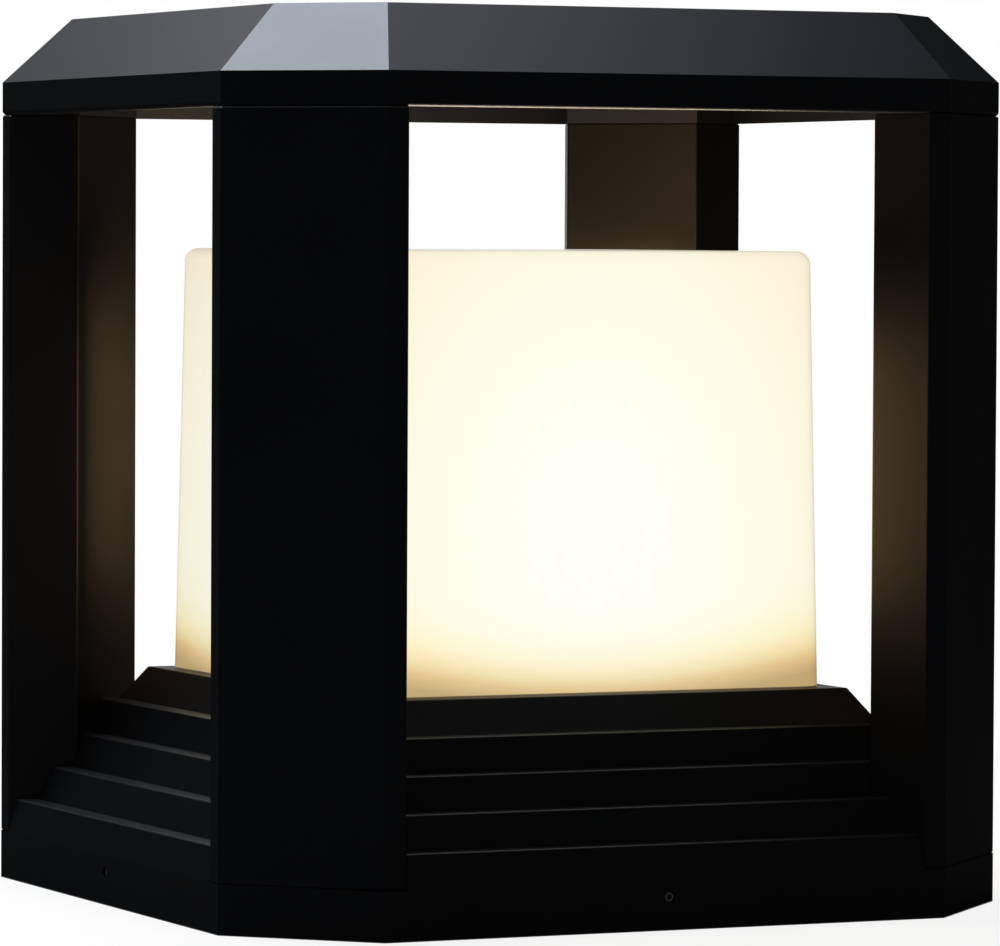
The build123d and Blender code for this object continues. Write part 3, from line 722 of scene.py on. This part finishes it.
def moulded(name, dark, light, roughness, grain, depth, glaze):
    """Two close tones in patches, a gloss, and a bump of one grain and depth in millimetres."""
    material, tree, shader, place = blank_finish(
        name, Roughness=roughness, Coat_Weight=glaze, Coat_Roughness=GLAZE_ROUGHNESS
    )
    feed(shader.inputs["Base Color"], mixed(tree, noise(tree, place, TONE_SIZE), dark, light))
    feed(shader.inputs["Normal"], bumped(tree, noise(tree, place, grain), depth))
    return material


for name, numbers in MOULDED.items():
    FINISHES[name] = moulded(name, *numbers)
print("moulded finishes:", list(MOULDED))

# %% Striped sheath
STRIPE = (0.2 * MM, 0.5 * MM)  # across the lead, over which green turns to yellow
SHEATH_GREEN, SHEATH_YELLOW = (0.05, 0.26, 0.05), (0.72, 0.55, 0.03)
SHEATH_ROUGHNESS = 0.38
SHEATH_GRAIN, SHEATH_DEPTH = 1.0, 0.006


def striped_sheath():
    """Green sheath with a yellow stripe along one side of the lead, whose middle lies in the plane y = 0."""
    material, tree, shader, place = blank_finish("green_pvc", Roughness=SHEATH_ROUGHNESS)
    share = ranged(tree, part_of(tree, place, "Y"), *STRIPE, 0.0, 1.0)
    feed(shader.inputs["Base Color"], mixed(tree, share, SHEATH_GREEN, SHEATH_YELLOW))
    feed(shader.inputs["Normal"], bumped(tree, noise(tree, place, SHEATH_GRAIN), SHEATH_DEPTH))
    return material


FINISHES["green_pvc"] = striped_sheath()
print("finishes so far:", len(FINISHES))

# %% [markdown]
# ## The lit bulb
# With the lantern lifted, the bulb shows: a frosted globe, lit from a board at its foot. It is brightest
# over the board and falls off a little towards its crown and its seam. A lamp inside thin frosted glass
# would be noisy, so a ramp over its height gives its glow.

# %% Bulb globe
GLOBE_GLOW = [
    (0.0, (0.78, 0.62, 0.38)),
    (0.25, (1.0, 0.93, 0.74)),
    (0.6, (1.0, 0.95, 0.8)),
    (1.0, (0.95, 0.84, 0.62)),
]
GLOBE_BASE = (0.28, 0.27, 0.24)
GLOBE_ROUGHNESS = 0.4
GLOBE_STRENGTH = 0.8
FROST_SIZE, FROST_DEPTH = 0.25, 0.004


def lit_globe():
    """Frosted globe whose glow follows its height."""
    material, tree, shader, place = blank_finish(
        "bulb_opal", Base_Color=GLOBE_BASE, Roughness=GLOBE_ROUGHNESS, Emission_Strength=GLOBE_STRENGTH
    )
    share = ranged(tree, part_of(tree, place, "Z"), bulb_low.z, bulb_high.z, 0.0, 1.0)
    feed(shader.inputs["Emission Color"], colour_ramp(tree, share, GLOBE_GLOW))
    feed(shader.inputs["Normal"], bumped(tree, noise(tree, place, FROST_SIZE), FROST_DEPTH))
    return material


FINISHES["bulb_opal"] = lit_globe()
print("globe from", round(bulb_low.z / MM), "to", round(bulb_high.z / MM), "mm")

# %% [markdown]
# ## Dressing the pieces
# In the workshop each piece comes coated, plated or moulded before it is put together. The model's record
# says which finish a piece has, so the pieces needn't be dressed one by one: a loop puts the finish of that
# name on each.

# %% Dress the nodes
slot_of = {subpart["node"]: subpart["material_slot"] for subpart in frame["record"]["subparts"]}
for name, node in frame["nodes"].items():
    for material_slot in node.material_slots:
        material_slot.material = FINISHES[slot_of[name]]
print("nodes dressed:", len(slot_of))

# %% [markdown]
# ## Screw thread of the bulb
# The cap of the bulb is thin sheet, rolled into a round thread, and the shell of the lampholder is rolled
# to the same pitch. The solids are plain tubes there. A Screw modifier could wind a profile up, but it
# leaves ends that have to be closed by hand. A surface round the axis whose radius follows a cosine of
# height and angle is closed from the start: the angle runs along the columns, the height along the rows.
# The pitch comes from the frame's own coupling of turn and rise, so cap and shell stay in step as the bulb
# turns out.

# %% Surfaces round an axis
COLUMNS = 120
ORIGIN, UPWARD = (0, 0, 0), (0, 0, 1)

angles = np.linspace(0, 2 * np.pi, COLUMNS, endpoint=False)[None, :]


def around_axis(foot, outward, radius, angle, along):
    """Points at a radius and an angle round an axis, this far along it from a foot point."""
    outward = np.array(outward, float)
    upright = np.array([1.0, 0.0, 0.0]) if abs(outward[2]) > 0.5 else np.array([0.0, 0.0, 1.0])
    sideways = np.cross(upright, outward)
    radius, angle, along = np.broadcast_arrays(radius, angle, along)
    flat = (radius * np.cos(angle))[..., None] * sideways + (radius * np.sin(angle))[..., None] * upright
    return np.array(foot) + flat + along[..., None] * outward


def carried_round(foot, outward, outline, angle=angles):
    """A grid whose rows follow an outline, given as radii and how far along the axis they lie, and whose
    columns go round the axis."""
    return np.concatenate([around_axis(foot, outward, radii, angle, level) for radii, level in outline])


def fine_piece(name, grids, node):
    """Makes the grids one piece that stands for a node, on its body and with its finish."""
    thing = new_object(name, mesh_from_grids(name, grids))
    thing.data.materials.append(FINISHES[slot_of[node]])
    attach(thing, body_of(frame["nodes"][node])[0])
    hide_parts(node)
    print(name, "faces:", len(thing.data.polygons))


print("columns round an axis:", COLUMNS)

# %% Round thread
PITCH = 2 * math.pi / frame["record"]["behaviour"]["couplings"][0]["ratio"]
THREAD_DEPTH = 0.85 * MM
ROWS_PER_TURN = 20


def thread_rows(low, high, pitch, rows_per_turn):
    """Levels from low to high, one to a row, with this many rows to a turn."""
    return np.linspace(low, high, int((high - low) / pitch * rows_per_turn))[:, None]


def round_thread(height, angle):
    """0 in a root and 1 on a crest: half of one plus the cosine of the turns climbed less the angle."""
    return 0.5 + 0.5 * np.cos(2 * np.pi * height / PITCH - angle)


print("pitch of the bulb's thread:", round(PITCH / MM, 3), "mm")

# %% Bulb cap
COLLAR = 3.6 * MM  # plain band at the top of the cap

cap_low, cap_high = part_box("bulb_cap")
height = thread_rows(cap_low.z, cap_high.z, PITCH, ROWS_PER_TURN)
start = np.clip((height - cap_low.z) / (PITCH / 2), 0, 1)
collar = np.clip((height - (cap_high.z - COLLAR)) / (PITCH / 2), 0, 1)
share = round_thread(height, angles) * start * (1 - collar) + collar
wall = cap_high.x - THREAD_DEPTH * (1 - share)
outline = [(0.0, cap_low.z), (wall, height), (0.0, cap_high.z)]
fine_piece("threaded_cap", [carried_round(ORIGIN, UPWARD, outline)], "bulb_cap")

# %% Lampholder shell
SHEET = 0.8 * MM  # thickness of the rolled sheet

shell_low, shell_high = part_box("lampholder_shell")
height = thread_rows(shell_low.z, shell_high.z, PITCH, ROWS_PER_TURN)
outside = shell_high.x - THREAD_DEPTH * (1 - round_thread(height, angles))
inside = outside - SHEET
outline = [(inside, height), (outside[::-1], height[::-1]), (inside[:1], height[:1])]
fine_piece("threaded_shell", [carried_round(ORIGIN, UPWARD, outline)], "lampholder_shell")

# %% [markdown]
# ## Set screws
# A headless screw in each side of the plinth holds the lantern to its plate: a thread all along, a cone at
# its point and a hexagon socket in its outer end, which is the dark ring that the picture shows. Cutting
# the socket out of a cylinder would leave ragged faces, so one grid follows the whole outline, from the
# middle of the point, along the thread, over the end and down into the socket. In the socket the radius is
# that of a hexagon: half its width over the cosine of the angle from a flat's middle.

# %% Sharp thread and hexagon
FLANK_SLOPE, ROOT_FLAT = 1.3, 0.15


def sharp_thread(along, angle, pitch):
    """0 in a root and 1 on a crest, in straight flanks with a small flat on each."""
    turns = along / pitch - angle / (2 * np.pi)
    return np.clip(FLANK_SLOPE * np.abs(2 * (turns % 1.0) - 1) - ROOT_FLAT, 0, 1)


def hexagon(width, angle):
    """Radius of a hexagon of this width across its flats."""
    return width / 2 / np.cos((angle + np.pi / 6) % (np.pi / 3) - np.pi / 6)


print("a hexagon 1 wide has its corners at", round(float(hexagon(1.0, angles).max()), 3))

# %% Set screws
SCREW_PITCH = 0.7 * MM
SCREW_DEPTH = 0.4 * MM
SCREW_ROWS_PER_TURN = 12
SOCKET_WIDTH = 2.0 * MM
SOCKET_DEPTH = 2.2 * MM
POINT_WIDTH = 1.8 * MM


def set_screw_grid(point, outward, length, radius):
    """The outline of a set screw, carried round its axis, from its point to the bottom of its socket."""
    root = radius - SCREW_DEPTH
    cone, end = root - POINT_WIDTH / 2, length - SCREW_DEPTH
    along = np.linspace(cone, end, int(length / SCREW_PITCH * SCREW_ROWS_PER_TURN))[:, None]
    fade = np.clip(np.minimum(along - cone, end - along) / SCREW_PITCH, 0, 1)
    thread = root + SCREW_DEPTH * sharp_thread(along, angles, SCREW_PITCH) * fade
    socket = hexagon(SOCKET_WIDTH, angles)
    outline = [
        (0.0, 0.0),
        (POINT_WIDTH / 2, 0.0),
        (thread, along),
        (root, length - SCREW_DEPTH / 2),
        (root - SCREW_DEPTH / 2, length),
        (socket, length),
        (socket, length - SOCKET_DEPTH),
        (0.0, length - SOCKET_DEPTH - SOCKET_WIDTH / 4),
    ]
    return carried_round(point, outward, outline)


for side, outward in OUTWARD.items():
    node = f"set_screw_{side}"
    low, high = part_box(node)
    length = abs(Vector(outward).dot(high - low))
    point = (low + high) / 2 - Vector(outward) * (length / 2)
    fine_piece(f"hex_{node}", [set_screw_grid(point, outward, length, (high.z - low.z) / 2)], node)

# %% [markdown]
# ## Pan heads and clamp screws
# The bracket, the lampholder, the terminal block, the earth tag and the diffuser are held by pan-head
# screws with a cross recess, and the leads by small slotted screws in the block. One screw could be made
# and copied to places written down by hand, but these would go stale when the model changes. So a screw is
# measured on its own solid in the frame: its axis, its two ends, its head and its shank. Its grid runs from
# the middle of its tail, up the shank, out under the head and over a dome to the middle, where a cross or a
# slot is pressed in.

# %% Separate solids
SAME_POINT = 0.001 * MM


def separate_points(node):
    """The points of each separate solid in a node. Every point starts with its own number and takes the
    lowest one found across an edge, until nothing changes: then each solid has one number."""
    work = bmesh.new()
    work.from_mesh(frame["nodes"][node].data)
    bmesh.ops.remove_doubles(work, verts=work.verts, dist=SAME_POINT)
    merged = bpy.data.meshes.new("merged")
    work.to_mesh(merged)
    work.free()
    points = np.empty((len(merged.vertices), 3), np.float32)
    edges = np.empty((len(merged.edges), 2), np.int32)
    merged.vertices.foreach_get("co", points.ravel())
    merged.edges.foreach_get("vertices", edges.ravel())
    bpy.data.meshes.remove(merged)
    number, before = np.arange(len(points)), None
    while before is None or (number != before).any():
        before = number.copy()
        np.minimum.at(number, edges, before[edges].min(axis=1, keepdims=True))
    return [points[number == lowest].astype(float) for lowest in np.unique(number)]


print("separate bracket screws:", len(separate_points("bracket_screws")))

# %% Recesses
CROSS_ARM, CROSS_REACH, CROSS_DEPTH = 0.45 * MM, 1.9 * MM, 1.4 * MM
CROSS_RIM, CROSS_SLOPE = 1.15, 0.3  # outer edge of its walls, and how wide they lean, as shares of its size
SLOT_WIDTH, SLOT_DEPTH = 0.8 * MM, 1.0 * MM
SLOT_RIM, SLOT_SLOPE = 1.1, 0.2


def cross_recess(across, along):
    """Depth of a cross, full in its bottom and 0 outside it: the nearer of two bars at right angles."""
    bars = [
        np.maximum(np.abs(across) / CROSS_ARM, np.abs(along) / CROSS_REACH),
        np.maximum(np.abs(across) / CROSS_REACH, np.abs(along) / CROSS_ARM),
    ]
    return CROSS_DEPTH * np.clip((CROSS_RIM - np.minimum(*bars)) / CROSS_SLOPE, 0, 1)


def slot_recess(across, along):
    """The same for a straight slot, which runs right across whatever the place along it."""
    return SLOT_DEPTH * np.clip((SLOT_RIM - 2 * np.abs(across) / SLOT_WIDTH) / SLOT_SLOPE, 0, 1)


print("depth in the middle of a cross:", round(float(cross_recess(0.0, 0.0)) / MM, 2), "mm")

# %% Recessed screws
DOME_ROWS = 26
DOME_POWER = 8  # the higher, the flatter the dome
TAIL_CUT = 0.3 * MM
HEAD_RIM = 0.99  # share of the head's radius from which a point lies on its rim
PLAIN_SHANK = 0.95  # a shank of a larger share of the widest radius has no head


def recessed_screw(points, outward, recess):
    """A screw measured on its solid: tail, shank, head and a dome less its recess, carried round the axis."""
    axis = np.array(outward, float)
    centre = (points.min(0) + points.max(0)) / 2
    along = (points - centre) @ axis
    radius = np.linalg.norm((points - centre) - along[:, None] * axis, axis=1)
    tail, top, head = along.min(), along.max(), radius.max()
    shank = radius[along < tail + TAIL_CUT].max()
    seat = along[radius > HEAD_RIM * head].min() if shank < PLAIN_SHANK * head else top - TAIL_CUT
    ring = np.sin(np.linspace(np.pi / 2, 0, DOME_ROWS))[:, None]
    dome = seat + (top - seat) * np.sqrt(1 - ring**DOME_POWER)
    dome = dome - recess(head * ring * np.cos(angles), head * ring * np.sin(angles))
    outline = [
        (0.0, tail),
        (shank - TAIL_CUT, tail),
        (shank, tail + TAIL_CUT),
        (shank, seat),
        (head * ring, np.maximum(dome, tail + TAIL_CUT)),
    ]
    return carried_round(centre, outward, outline)


for node, outward, recess in (
    ("bracket_screws", UPWARD, cross_recess),
    ("lampholder_screws", UPWARD, cross_recess),
    ("terminal_block_screws", UPWARD, cross_recess),
    ("earth_screw", UPWARD, cross_recess),
    ("diffuser_screws", (0, 0, -1), cross_recess),
    ("terminal_screws", UPWARD, slot_recess),
):
    grids = [recessed_screw(points, outward, recess) for points in separate_points(node)]
    fine_piece(f"recessed_{node}", grids, node)

# %% [markdown]
# ## Tie rods
# A rod through each hollow post draws the roof and the base together, with a nut under the plinth. A thread
# all along would cost many faces that nobody sees, so only the lower end gets one: the end starts at the
# root's width, and further up the thread runs out into the full rod. Fewer columns than on the screws are
# enough for so thin a rod.

# %% Tie rods
ROD_PITCH, ROD_DEPTH = 0.8 * MM, 0.48 * MM
ROD_THREAD = 20.0 * MM  # length of the thread
ROD_COLUMNS, ROD_ROWS_PER_TURN = 32, 8

rod_angles = np.linspace(0, 2 * np.pi, ROD_COLUMNS, endpoint=False)[None, :]


def tie_rod_grid(points):
    """A rod measured on its solid: the radius is the root plus the depth times a share, which starts at 0,
    follows the thread and ends at 1."""
    low, high = points.min(0), points.max(0)
    foot = ((low[0] + high[0]) / 2, (low[1] + high[1]) / 2, low[2])
    radius, length = (high[0] - low[0]) / 2, high[2] - low[2]
    along = thread_rows(0, ROD_THREAD, ROD_PITCH, ROD_ROWS_PER_TURN)
    start = np.clip(along / ROD_PITCH, 0, 1)
    runout = np.clip((along - ROD_THREAD) / ROD_PITCH + 1, 0, 1)
    share = sharp_thread(along, rod_angles, ROD_PITCH) * start * (1 - runout) + runout
    outline = [(0.0, 0.0), (radius - ROD_DEPTH * (1 - share), along), (radius, length), (0.0, length)]
    return carried_round(foot, UPWARD, outline, rod_angles)


fine_piece("threaded_tie_rods", [tie_rod_grid(points) for points in separate_points("tie_rods")], "tie_rods")
